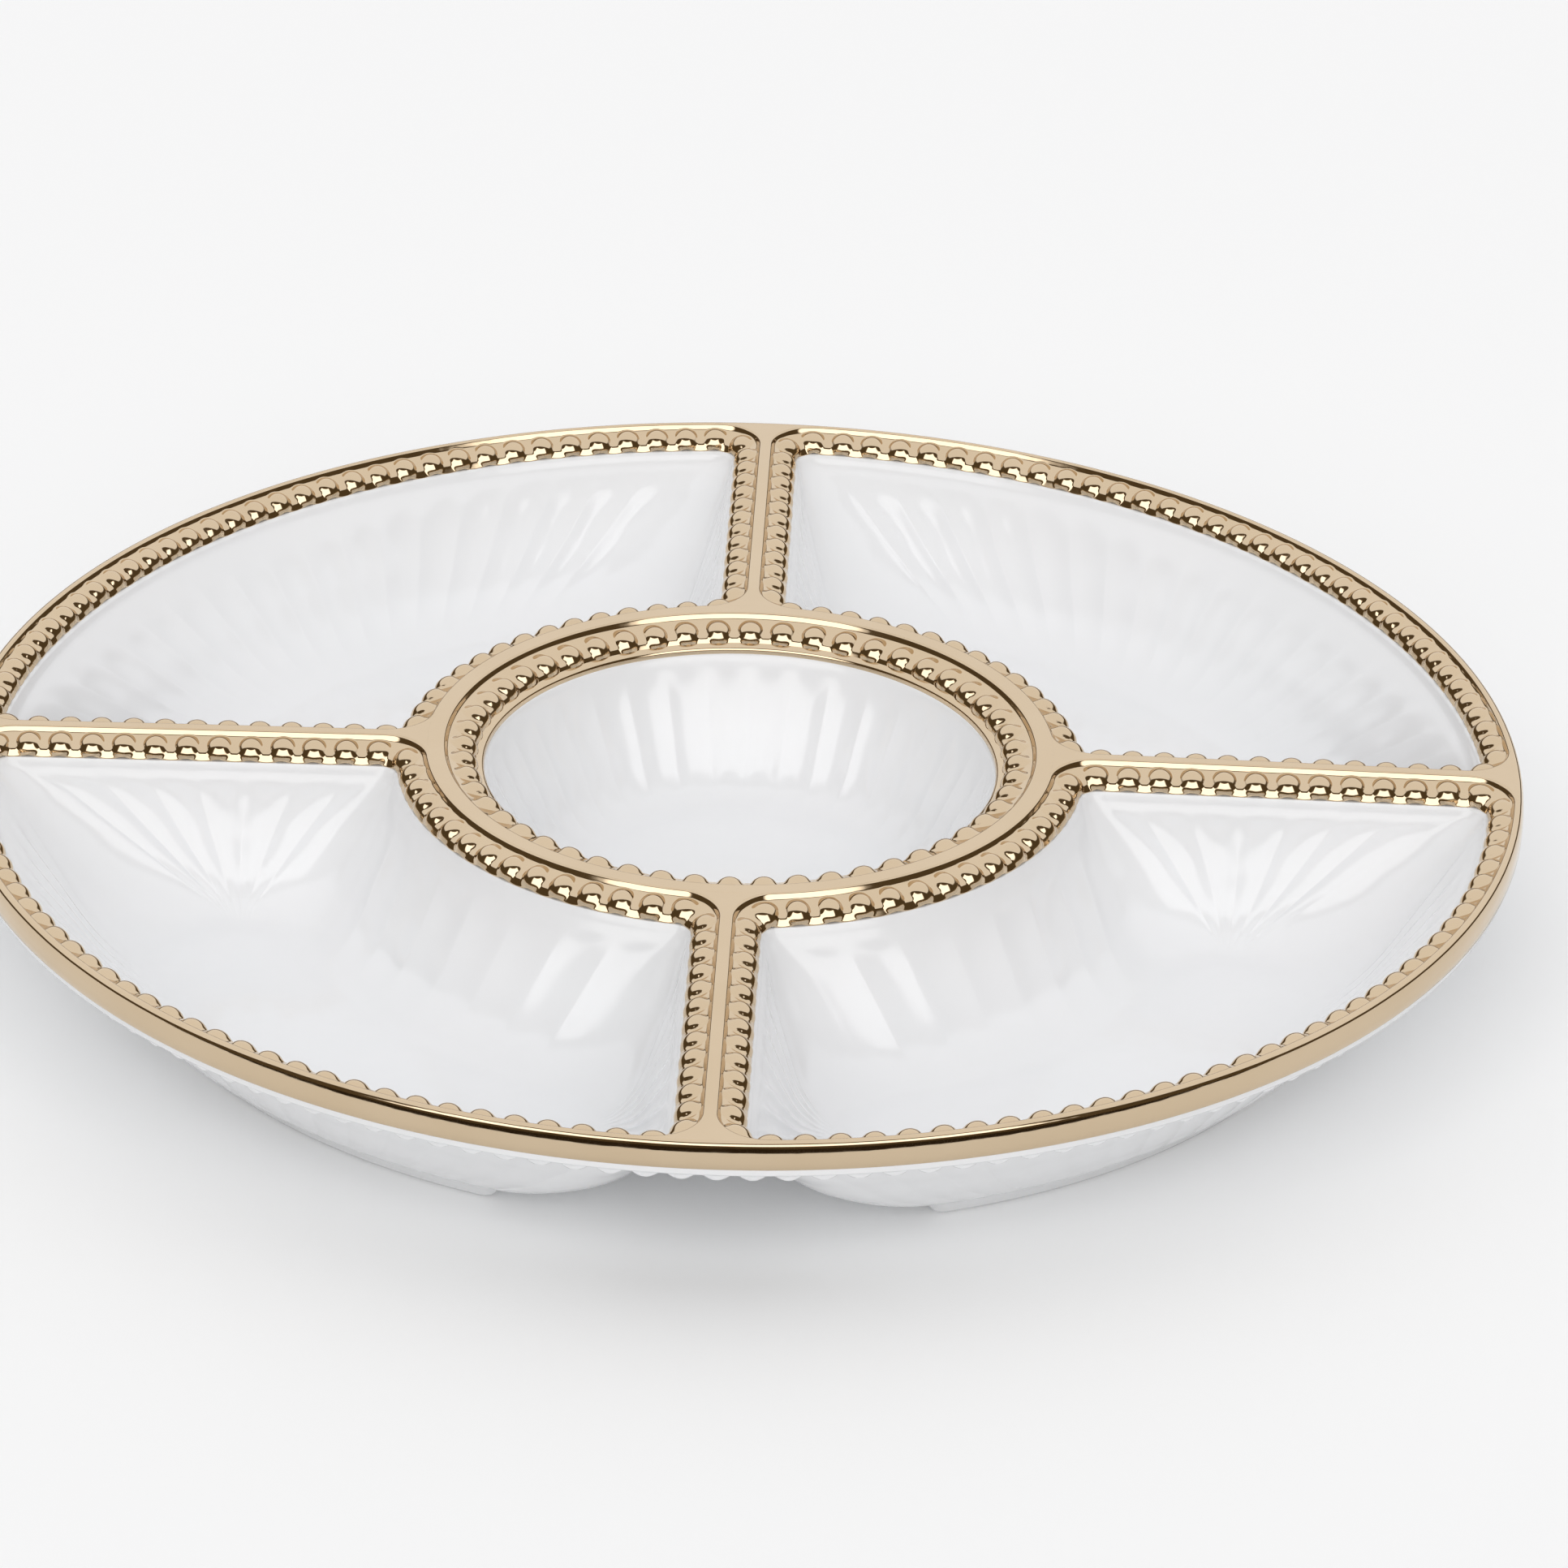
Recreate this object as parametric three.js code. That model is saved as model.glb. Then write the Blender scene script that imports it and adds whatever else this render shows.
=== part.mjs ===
import * as THREE from "three";

// Chip and dip server: a round dish with four fan-shaped bowls around a central dip bowl.
// Millimetres, +Z up. The origin is the centre of the plane that the four feet stand on.
// Front is -Y. The gilded mouldings and the white bowls are separate solids, CLEARANCE apart.

// ---- Driving dimensions ----
const HEIGHT = 42; // feet to crest, the top of the rim, dividers and centre ring
const CROWN = 1.45; // the dish swells upward toward its middle by this much
const CLEARANCE = 0.35; // gap kept between neighbouring solids

const RIM_RADIUS = 180; // outside of the whole dish
const RIM_INNER_RADIUS = 177.8;
const RIM_DEPTH = 6.3; // height of the gilded outer wall
const RIM_ROUNDING = 1.2;
const MOULDING_BAND = 2; // white moulding under the gilded wall: its upright band,
const MOULDING_DEPTH = 4; // and its whole depth
const MOULDING_RADIUS = 179.2;
const MOULDING_FOOT_RADIUS = 176.5;
const MOULDING_INNER_RADIUS = 174.1;

const BEAD_RADIUS = 2.95;
const BEAD_WAIST = 2.2; // radius of the string between two beads
const BEAD_DEPTH = 3.2; // bead centres below the crest
const BEADS_PER_SECTION = 76;
const BEADS_ON_DIP = 52;

const OUTER_BEADS = 174.2; // bead path of a section: outer arc, inner arc and sides
const INNER_BEADS = 76.7;
const SIDE_BEADS = 5.4; // distance of the side paths from the divider's centre line
const BEAD_PATH = { outer: 0, side: 0, inner: 0, corner: 7 };
const DIP_BEADS = 62.8; // radius of the bead ring around the dip bowl

const DIVIDER_HALF_WIDTH = 2.15;
const DIVIDER_DEPTH = RIM_DEPTH;
const DIVIDER_FLARE = 10.25; // radius of the flared ends
const OUTER_FLARE_TURN = Math.PI / 3;
const INNER_FLARE_TURN = Math.PI / 3.6;

const RING_OUTER_RADIUS = 73.1;
const RING_INNER_RADIUS = 66.1;
const RING_DEPTH = 9;
const LIP_INNER_RADIUS = 58.9;
const LIP_OUTER_RADIUS = 60.6;
const LIP_TOP = 5;
const LIP_BOTTOM = 6.8;

const FLUTES_PER_SECTION = 43;
const FLUTES_IN_DIP = 36;
const FLUTE_SWELL = 0.7; // half the depth of a flute

const FOOT_HALF_SPAN = THREE.MathUtils.degToRad(26);
const FOOT_STEPS = 8;

const ROUND_STEPS = 72;

// Each row is one ring of a section bowl, from the underside up the outer wall, over the rim
// and down the inner wall: how far its outer arc, sides and inner arc lie inside the bead
// path, the corner radius, the depth below the crest, and how much of the flute it shows.
const SECTION_RINGS = [
  { outer: 34.7, side: 21, inner: 26, corner: 17, depth: 39, flute: 0 },
  { outer: 25.7, side: 14.5, inner: 18.5, corner: 21, depth: 36.4, flute: 0.4 },
  { outer: 20.2, side: 10, inner: 14, corner: 19, depth: 31, flute: 1 },
  { outer: 13.2, side: 5.8, inner: 8, corner: 16, depth: 22, flute: 1 },
  { outer: 0.8, side: -2.7, inner: -2.7, corner: 9.7, depth: 6.6, flute: 0 },
  { outer: 3.3, side: 3.1, inner: 3.1, corner: 9, depth: 6.6, flute: 0 },
  { outer: 7, side: 4.6, inner: 5, corner: 10, depth: 10, flute: 1 },
  { outer: 15, side: 8.5, inner: 11, corner: 13, depth: 20, flute: 1 },
  { outer: 24.8, side: 14, inner: 18.5, corner: 17.5, depth: 31, flute: 1 },
  { outer: 35.7, side: 22, inner: 27, corner: 15, depth: 35.7, flute: 0 },
];

// The same for the dip bowl, with plain radii.
const DIP_RINGS = [
  { radius: 39.5, depth: 39, flute: 0 },
  { radius: 48.6, depth: 35, flute: 1 },
  { radius: 54.4, depth: 23.5, flute: 1 },
  { radius: 65.6, depth: 7.2, flute: 0 },
  { radius: 58.9, depth: 7.2, flute: 0 },
  { radius: 57, depth: 10, flute: 1 },
  { radius: 51, depth: 22, flute: 1 },
  { radius: 45.6, depth: 32, flute: 1 },
  { radius: 38.5, depth: 35.6, flute: 0 },
];

// A foot in section: flat underneath, its outer face flaring up to the wall of the bowl.
const FOOT_PROFILE = [
  { radius: 133.5, depth: HEIGHT },
  { radius: 143.4, depth: HEIGHT },
  { radius: 148.6, depth: 37.3 },
  { radius: 144.5, depth: 38.1 },
  { radius: 139.5, depth: 39.35 },
  { radius: 131, depth: 39.35 },
];

// Quarter turns that place each section and each divider.
const SECTION_TURNS = { back_right: 0, back_left: 1, front_left: 2, front_right: 3 };
const DIVIDER_TURNS = { back: 0, left: 1, front: 2, right: 3 };

// ---- Materials ----
const porcelain = new THREE.MeshStandardMaterial({ color: 0xf1f2f4, roughness: 0.12, metalness: 0 });
const gilding = new THREE.MeshStandardMaterial({ color: 0xd8b98c, roughness: 0.1, metalness: 1 });

// ---- Closed solids from rings of points ----

// Joins ring after ring with triangles. Every ring has the same number of points.
function addWall(triangles, from, to) {
  for (let i = 0; i < from.length; i += 1) {
    const next = (i + 1) % from.length;
    triangles.push(from[i], from[next], to[i]);
    triangles.push(from[next], to[next], to[i]);
  }
}

// Fills a flat ring. The contour is the ring seen in its own plane.
function addCap(triangles, ring, contour, flipped) {
  for (const [a, b, c] of THREE.ShapeUtils.triangulateShape(contour, [])) {
    const corners = flipped ? [ring[c], ring[b], ring[a]] : [ring[a], ring[b], ring[c]];
    triangles.push(...corners);
  }
}

function geometryOf(triangles) {
  const geometry = new THREE.BufferGeometry().setFromPoints(triangles);
  geometry.computeVertexNormals();
  return geometry;
}

// A bowl: the first ring closes its underside and the last ring is its inside floor.
function bowlGeometry(rings) {
  const triangles = [];
  for (let k = 0; k + 1 < rings.length; k += 1) {
    addWall(triangles, rings[k], rings[k + 1]);
  }
  const flat = (ring) => ring.map((point) => new THREE.Vector2(point.x, point.y));
  const first = rings[0];
  const last = rings[rings.length - 1];
  addCap(triangles, first, flat(first), true);
  addCap(triangles, last, flat(last), false);
  return geometryOf(triangles);
}

// A closed band: the last ring joins the first one again.
function bandGeometry(rings) {
  const triangles = [];
  rings.forEach((ring, k) => addWall(triangles, ring, rings[(k + 1) % rings.length]));
  return geometryOf(triangles);
}

// ---- The outline of one section, in the first quadrant ----

function arc(centreX, centreY, radius, start, end, clockwise = false) {
  return new THREE.EllipseCurve(centreX, centreY, radius, radius, start, end, clockwise);
}

// Two arcs about the dish's centre and two straight sides, joined by four round corners.
// It runs counterclockwise from the end of the outer arc nearest the +X divider.
function sectionOutline(insets) {
  const outer = OUTER_BEADS - insets.outer;
  const inner = INNER_BEADS + insets.inner;
  const side = SIDE_BEADS + insets.side;
  const corner = insets.corner;
  const off = side + corner;
  const far = Math.sqrt((outer - corner) ** 2 - off ** 2);
  const near = Math.sqrt((inner + corner) ** 2 - off ** 2);
  const farTurn = Math.atan2(off, far);
  const nearTurn = Math.atan2(off, near);
  const right = Math.PI / 2;
  return [
    arc(0, 0, outer, farTurn, right - farTurn),
    arc(off, far, corner, right - farTurn, 2 * right),
    new THREE.LineCurve(new THREE.Vector2(side, far), new THREE.Vector2(side, near)),
    arc(off, near, corner, 2 * right, 3 * right - nearTurn),
    arc(0, 0, inner, right - nearTurn, nearTurn, true),
    arc(near, off, corner, 2 * right + nearTurn, 3 * right),
    new THREE.LineCurve(new THREE.Vector2(near, side), new THREE.Vector2(far, side)),
    arc(far, off, corner, 3 * right, 4 * right + farTurn),
  ];
}

// Evenly spaced places on the bead path, as a piece of the outline and a share of it, so
// that the same place can be found on any other outline.
function placesOnPath(count) {
  const lengths = sectionOutline(BEAD_PATH).map((curve) => curve.getLength());
  const total = lengths.reduce((sum, length) => sum + length, 0);
  const places = [];
  for (let i = 0; i < count; i += 1) {
    let along = (total * i) / count;
    let piece = 0;
    while (along > lengths[piece]) {
      along -= lengths[piece];
      piece += 1;
    }
    places.push({ piece, share: along / lengths[piece] });
  }
  return places;
}

// A point of an outline, pushed inward by a distance, at a depth below the crest.
function pointAt(outline, place, inward, depth) {
  const curve = outline[place.piece];
  const point = curve.getPoint(place.share);
  const tangent = curve.getTangent(place.share);
  const x = point.x - tangent.y * inward;
  const y = point.y + tangent.x * inward;
  return new THREE.Vector3(x, y, HEIGHT - depth);
}

function pointOnCircle(radius, turn, depth) {
  return new THREE.Vector3(radius * Math.cos(turn), radius * Math.sin(turn), HEIGHT - depth);
}

// Flutes are hollows between ridges, so every other point stands proud.
function fluteSwell(index, share) {
  return share * (index % 2 === 0 ? FLUTE_SWELL : -FLUTE_SWELL);
}

// ---- White bowls ----

function sectionBowl() {
  const places = placesOnPath(2 * FLUTES_PER_SECTION);
  const rings = SECTION_RINGS.map((ring) => {
    const outline = sectionOutline(ring);
    const swell = (index) => fluteSwell(index, ring.flute);
    return places.map((place, i) => pointAt(outline, place, swell(i), ring.depth));
  });
  return bowlGeometry(rings);
}

function dipBowl() {
  const count = 2 * FLUTES_IN_DIP;
  const rings = DIP_RINGS.map(({ radius, depth, flute }) => {
    const ring = [];
    for (let i = 0; i < count; i += 1) {
      ring.push(pointOnCircle(radius - fluteSwell(i, flute), (2 * Math.PI * i) / count, depth));
    }
    return ring;
  });
  return bowlGeometry(rings);
}

// ---- Strings of beads ----

// The string has a diamond section that is wide at each bead and narrow between beads.
const DIAMOND = [
  { inward: -1, up: 0 },
  { inward: 0, up: 1 },
  { inward: 1, up: 0 },
  { inward: 0, up: -1 },
];

function beadSize(index) {
  return index % 2 === 0 ? BEAD_RADIUS : BEAD_WAIST;
}

function sectionBeads() {
  const places = placesOnPath(2 * BEADS_PER_SECTION);
  const path = sectionOutline(BEAD_PATH);
  const rings = DIAMOND.map(({ inward, up }) =>
    places.map((place, i) => {
      const size = beadSize(i);
      return pointAt(path, place, inward * size, BEAD_DEPTH - up * size);
    }),
  );
  return bandGeometry(rings);
}

function dipBeads() {
  const count = 2 * BEADS_ON_DIP;
  const rings = DIAMOND.map(({ inward, up }) => {
    const ring = [];
    for (let i = 0; i < count; i += 1) {
      const size = beadSize(i);
      const turn = (2 * Math.PI * i) / count;
      ring.push(pointOnCircle(DIP_BEADS - inward * size, turn, BEAD_DEPTH - up * size));
    }
    return ring;
  });
  return bandGeometry(rings);
}

// ---- Turned rings ----

// Spins a closed profile, listed counterclockwise as radius and depth, about the Z axis.
function turnedRing(profile) {
  const points = profile.map(([radius, depth]) => new THREE.Vector2(radius, HEIGHT - depth));
  points.push(points[0].clone());
  return new THREE.LatheGeometry(points, ROUND_STEPS).rotateX(Math.PI / 2);
}

function outerRim() {
  return turnedRing([
    [RIM_INNER_RADIUS, RIM_DEPTH],
    [RIM_RADIUS, RIM_DEPTH],
    [RIM_RADIUS, RIM_ROUNDING],
    [RIM_RADIUS - 0.3 * RIM_ROUNDING, 0.3 * RIM_ROUNDING],
    [RIM_RADIUS - RIM_ROUNDING, 0],
    [RIM_INNER_RADIUS, 0],
  ]);
}

function underRimMoulding() {
  const top = RIM_DEPTH + CLEARANCE;
  return turnedRing([
    [MOULDING_INNER_RADIUS, top + MOULDING_DEPTH],
    [MOULDING_FOOT_RADIUS, top + MOULDING_DEPTH],
    [MOULDING_RADIUS, top + MOULDING_BAND],
    [MOULDING_RADIUS, top],
    [MOULDING_INNER_RADIUS, top],
  ]);
}

function centreRing() {
  return turnedRing([
    [RING_INNER_RADIUS, RING_DEPTH],
    [RING_OUTER_RADIUS, RING_DEPTH],
    [RING_OUTER_RADIUS, 0],
    [RING_INNER_RADIUS, 0],
  ]);
}

function dipLip() {
  return turnedRing([
    [LIP_INNER_RADIUS, LIP_BOTTOM],
    [LIP_OUTER_RADIUS, LIP_BOTTOM],
    [LIP_OUTER_RADIUS, LIP_TOP],
    [LIP_INNER_RADIUS, LIP_TOP],
  ]);
}

// ---- Dividers ----

// The plan of the divider on +Y: a bar whose ends flare to meet the ring and the rim.
function dividerPlan() {
  const off = DIVIDER_HALF_WIDTH + DIVIDER_FLARE;
  const rimReach = RIM_INNER_RADIUS - CLEARANCE;
  const ringReach = RING_OUTER_RADIUS + CLEARANCE;
  const far = Math.sqrt((rimReach - DIVIDER_FLARE) ** 2 - off ** 2);
  const near = Math.sqrt((ringReach + DIVIDER_FLARE) ** 2 - off ** 2);
  const left = Math.PI;
  const farX = off - DIVIDER_FLARE * Math.cos(OUTER_FLARE_TURN);
  const nearX = off - DIVIDER_FLARE * Math.cos(INNER_FLARE_TURN);
  const farTurn = Math.asin(farX / rimReach);
  const nearTurn = Math.asin(nearX / ringReach);
  const plan = new THREE.Shape();
  plan.absarc(off, near, DIVIDER_FLARE, left + INNER_FLARE_TURN, left, true);
  plan.absarc(off, far, DIVIDER_FLARE, left, left - OUTER_FLARE_TURN, true);
  plan.absarc(0, 0, rimReach, left / 2 - farTurn, left / 2 + farTurn, false);
  plan.absarc(-off, far, DIVIDER_FLARE, OUTER_FLARE_TURN, 0, true);
  plan.absarc(-off, near, DIVIDER_FLARE, 0, -INNER_FLARE_TURN, true);
  plan.absarc(0, 0, ringReach, left / 2 + nearTurn, left / 2 - nearTurn, true);
  return plan;
}

function divider() {
  const settings = { depth: DIVIDER_DEPTH, bevelEnabled: false, curveSegments: 5 };
  const bar = new THREE.ExtrudeGeometry(dividerPlan(), settings);
  return bar.translate(0, 0, HEIGHT - DIVIDER_DEPTH);
}

// ---- Feet ----

// An arc-shaped foot under the middle of the section in the first quadrant.
function foot() {
  const rings = [];
  for (let i = 0; i <= FOOT_STEPS; i += 1) {
    const turn = Math.PI / 4 + FOOT_HALF_SPAN * ((2 * i) / FOOT_STEPS - 1);
    rings.push(FOOT_PROFILE.map(({ radius, depth }) => pointOnCircle(radius, turn, depth)));
  }
  const triangles = [];
  for (let i = 0; i < FOOT_STEPS; i += 1) {
    addWall(triangles, rings[i + 1], rings[i]);
  }
  const contour = FOOT_PROFILE.map(({ radius, depth }) => new THREE.Vector2(radius, HEIGHT - depth));
  addCap(triangles, rings[0], contour, false);
  addCap(triangles, rings[FOOT_STEPS], contour, true);
  return geometryOf(triangles);
}

// ---- Assembly ----

const server = new THREE.Group();
server.name = "chip_and_dip_server";

// Lifts the dish toward its middle. The plane that the feet stand on stays flat.
function crowned(geometry) {
  const points = geometry.getAttribute("position");
  for (let i = 0; i < points.count; i += 1) {
    const reach = Math.hypot(points.getX(i), points.getY(i)) / RIM_RADIUS;
    points.setZ(i, points.getZ(i) * (1 + (CROWN / HEIGHT) * (1 - reach ** 2)));
  }
  return geometry;
}

function addNode(name, geometry, material) {
  const mesh = new THREE.Mesh(crowned(geometry), material);
  mesh.name = name;
  server.add(mesh);
}

function addTurned(name, geometry, material, quarterTurns) {
  addNode(name, geometry.rotateZ((quarterTurns * Math.PI) / 2), material);
}

addNode("outer_rim", outerRim(), gilding);
addNode("centre_ring", centreRing(), gilding);
addNode("dip_bead_ring", dipBeads(), gilding);
addNode("dip_lip", dipLip(), gilding);
addNode("dip_bowl", dipBowl(), porcelain);
addNode("under_rim_moulding", underRimMoulding(), porcelain);

for (const [place, turns] of Object.entries(SECTION_TURNS)) {
  addTurned(`section_bowl_${place}`, sectionBowl(), porcelain, turns);
  addTurned(`section_beads_${place}`, sectionBeads(), gilding, turns);
  addTurned(`foot_${place}`, foot(), porcelain, turns);
}

for (const [place, turns] of Object.entries(DIVIDER_TURNS)) {
  addTurned(`divider_${place}`, divider(), gilding, turns);
}

export default server;
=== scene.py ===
"""Looks of the chip and dip server: gilded, beaded mouldings around glazed white bowls."""

import math

import bpy
import numpy as np
from mathutils import Matrix, Vector


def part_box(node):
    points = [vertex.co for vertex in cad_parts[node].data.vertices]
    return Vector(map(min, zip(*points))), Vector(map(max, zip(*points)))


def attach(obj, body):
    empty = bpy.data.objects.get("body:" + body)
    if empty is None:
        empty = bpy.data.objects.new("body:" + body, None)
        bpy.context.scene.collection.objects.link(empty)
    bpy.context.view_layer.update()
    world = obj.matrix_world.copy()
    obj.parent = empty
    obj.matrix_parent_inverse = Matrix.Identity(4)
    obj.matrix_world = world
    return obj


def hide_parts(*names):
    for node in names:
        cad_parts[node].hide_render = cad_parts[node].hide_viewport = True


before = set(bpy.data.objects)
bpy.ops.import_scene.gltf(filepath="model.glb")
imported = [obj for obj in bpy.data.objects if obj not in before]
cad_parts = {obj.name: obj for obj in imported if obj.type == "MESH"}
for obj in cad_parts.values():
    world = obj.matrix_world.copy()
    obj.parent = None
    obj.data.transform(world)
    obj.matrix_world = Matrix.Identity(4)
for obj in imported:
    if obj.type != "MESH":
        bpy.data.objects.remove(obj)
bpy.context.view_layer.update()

# Lengths are millimetres, and heights are measured from the crest, the top of the rim,
# dividers and centre ring. The CAD says where the crest and the outside are.
METRE = 1000.0
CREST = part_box("outer_rim")[1].z * METRE
RIM_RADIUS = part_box("outer_rim")[1].x * METRE
FOOT_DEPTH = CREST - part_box("foot_front_left")[0].z * METRE
RIGHT = math.pi / 2

# The dish swells upward toward its middle, so that its ring stands above its rim.
RING_EDGE = 66.1
RING_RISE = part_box("centre_ring")[1].z * METRE - CREST
CROWN = RING_RISE / (1 - (RING_EDGE / RIM_RADIUS) ** 2)

# ---- The bead paths ----
OUTER_BEADS = 174.2
INNER_BEADS = 76.7
SIDE_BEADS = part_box("section_beads_back_right")[0].x * METRE + 2.95
BEAD_CORNER = 7.0
BEADS_PER_SECTION = 76
DIP_BEADS = 62.8
BEADS_ON_DIP = 52

# ---- The gilded border in section: crest, steep shoulder, ledge, steep wall ----
# Offsets are inward of the bead path, so the crest lies at negative ones.
CREST_EDGES = {"outer": -3.6, "side": -4.0, "inner": -4.4, "dip": -5.3}
CREST_SEAM = 0.35  # the border's own strip of crest
SHOULDER = (0.72, -1.35)  # from the crest's edge to the foot of the shoulder
LEDGE_END = (1.4, -3.15)
BORDER_END = (2.2, -4.7)  # the gilding's lower edge
SLOPE_START = -2.8  # height of the 45 degree slope where it crosses the bead path
BEAD_CENTRE = (0.25, -0.98)  # along the slope, and off it
BEAD_SIZE = (3.15, 3.3, 2.62)  # half of a bead across, along the slope, and off it
BEAD_LIMIT = 0.94  # share of a bead's reach beyond which its side runs on straight
BEAD_SIZE_SPREAD = 0.008  # beads differ by this share of their size
BEAD_PLACE_SPREAD = 0.045  # and stray by this much, as standard deviations
SECTION_SEED = 11
DIP_SEED = 5
BEAD_FILLET = 0.7  # widths over which two surfaces of the border blend
LEDGE_FILLET = 0.6
SHOULDER_FILLET = 0.25
CREST_FILLET = 0.45
EDGE_WAVE = 0.2  # the gilding's lower edge dips between the beads
STEPS_PER_BEAD = 26
BORDER_ROWS = 46
CREST_TUCK = (-0.2, -0.22)  # from the seam, along the slope and off it
BORDER_BACK = [  # the strip's hidden back, from its lower edge or its seam
    ("end", 0.12, -0.14),
    ("end", 0.06, -0.5),
    ("end", -1.5, -1.6),
    ("seam", 1.5, -2.2),
    ("seam", -0.2, -1.6),
]
PLATE_THICKNESS = 2.6
DIVIDER_STEPS = 40
FLARE_STEPS = {"ring": 24, "rim": 40}  # points on the curved ends of a divider

# ---- The rim ----
RIM_CORNER = 1.2
RIM_BULGE = 8.0
RIM_WALL = 6.4
RIM_BULGE_TURN = math.radians(18)  # lean of the wall where the corner meets the bulge
RIM_STEPS = 720

# ---- The moulding under the rim ----
BAND_RADIUS = 179.3
BAND_BOTTOM = 8.3
LOBES = 147
STEPS_PER_LOBE = 10
LOBE_ROUNDNESS = 0.75
LOBE_ROWS = 7
LOBE_ARC = (0.12, 0.62)  # share of a half turn where the bulge starts, and its span
LOBE_INSET = (3.4, 0.5)  # inward of the band at the top, and more by the bottom
LOBE_BULGE = (0.5, 1.1)  # outward between the lobes, and more on them
LOBE_DROP = (0.7, 1.75)  # downward between the lobes, and more on them

# ---- The bowls ----
FLUTES_PER_SECTION = 43
FLUTES_IN_DIP = 36
STEPS_PER_FLUTE = 24
FLUTE_DEPTH = 0.65
FLUTE_SHARPNESS = 1.2
SECTION_ROWS = {"outside": 34, "inside": 52}
DIP_ROWS = {"outside": 24, "inside": 44}

# Rings of a section bowl: insets of the outer arc, sides and inner arc from the bead
# path, corner radius, depth and share of the flute's depth.
INNER_WALL = [
    (1.5, 1.5, 1.5, 5.5, 4.85, 0),
    (2.1, 2.1, 2.1, 4.9, 4.8, 0),
    (2.6, 2.5, 2.55, 4.5, 5.1, 0),
    (3.2, 2.85, 3.0, 4.6, 6.2, 0),
    (6.0, 4.0, 4.3, 6.5, 9.0, 0.0),
    (8.8, 5.0, 5.7, 9.0, 11.8, 0.45),
    (11.5, 6.3, 7.6, 10.5, 14.8, 1),
    (15.9, 8.5, 11.0, 13.0, 20.0, 0.9),
    (24.6, 13.6, 18.0, 17.5, 30.0, 0.55),
    (29.7, 17.5, 22.5, 18.0, 33.6, 0.2),
    (35.7, 22.0, 27.0, 15.0, 35.5, 0.0),
    (38.7, 25.0, 30.0, 13.5, 35.7, 0),
]
OUTER_WALL = [
    (35.7, 22.0, 27.0, 17.0, 39.0, 0),
    (30.7, 18.0, 22.5, 19.0, 38.4, 0.1),
    (25.7, 14.5, 18.5, 21.0, 36.4, 0.25),
    (20.2, 10.0, 14.0, 19.0, 31.0, 0.4),
    (13.2, 5.8, 8.0, 16.0, 22.0, 0.5),
    (5.7, 1.0, 1.6, 13.0, 13.0, 0.4),
    (2.0, -1.2, -2.0, 12.0, 10.0, 0.0),
    (-0.8, -3.4, -4.5, 6.5, 7.9, 0),
    (-2.8, -5.2, -6.6, 2.9, 7.4, 0),
]
DIP_INNER_WALL = [
    (59.7, 5.8, 0),
    (58.8, 6.3, 0),
    (58.45, 7.0, 0),
    (57.6, 9.2, 0),
    (56.3, 12.0, 0.5),
    (54.6, 15.3, 1),
    (51.0, 22.0, 1),
    (46.2, 30.6, 1),
    (42.4, 34.3, 0.5),
    (37.5, 35.6, 0),
    (35.0, 35.7, 0),
]
DIP_OUTER_WALL = [
    (38.5, 39.0, 0),
    (43.5, 38.2, 0.3),
    (48.6, 35.0, 1),
    (54.4, 23.5, 1),
    (60.5, 12.5, 0.5),
    (66.5, 7.4, 0),
]

# ---- The dip's gilded lip: radius and depth ----
LIP_PROFILE = [
    (61.6, 4.1),
    (60.95, 4.3),
    (60.5, 4.42),
    (60.0, 4.56),
    (59.5, 4.72),
    (59.15, 4.95),
    (58.95, 5.4),
    (58.9, 6.1),
    (58.95, 6.6),
    (59.4, 6.7),
    (60.4, 6.3),
    (61.8, 5.2),
]

# ---- The feet ----
FOOT_HALF_SPAN = math.radians(26)
FOOT_END = math.radians(1.5)  # the rounded part at each end
FOOT_END_AT = (0, 0.35, 0.7, 1)  # shares of the rounded part, and how far it is drawn in
FOOT_END_RISE = (0.35, 0.12, 0.03, 0)
FOOT_STEPS = 60
FOOT_TOP = 36.0  # the ends are drawn in toward this depth
FOOT_MIDDLE = 139  # and toward this radius, by a third as large a share
FOOT_TAPER = 3
FOOT_PROFILE = [
    (132.0, 37.6),
    (133.1, 41.2),
    (133.5, 41.8),
    (134.1, 42.0),
    (142.8, 42.0),
    (143.5, 41.75),
    (143.9, 41.2),
    (145.1, 39.4),
    (147.0, 37.2),
    (149.5, 35.0),
    (146.0, 34.0),
    (140.0, 36.5),
]


# ---- Meshes ----


def grid_faces(rows, columns, closed_rows=False):
    """Quads of a grid whose columns join up in a loop, and its rows too if closed."""
    row = np.arange(rows if closed_rows else rows - 1)[:, None]
    column = np.arange(columns)[None, :]
    after, beside = (row + 1) % rows, (column + 1) % columns
    corners = [
        row * columns + column,
        row * columns + beside,
        after * columns + beside,
        after * columns + column,
    ]
    return np.stack(corners, -1).reshape(-1, 4)


def crowned(points):
    """Points of the dish lifted toward its middle. The floor's plane stays flat."""
    reach = np.hypot(points[:, 0], points[:, 1]) / RIM_RADIUS
    lift = 1 + CROWN / CREST * (1 - reach**2)
    return points * np.column_stack([np.ones((len(points), 2)), lift])


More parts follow.
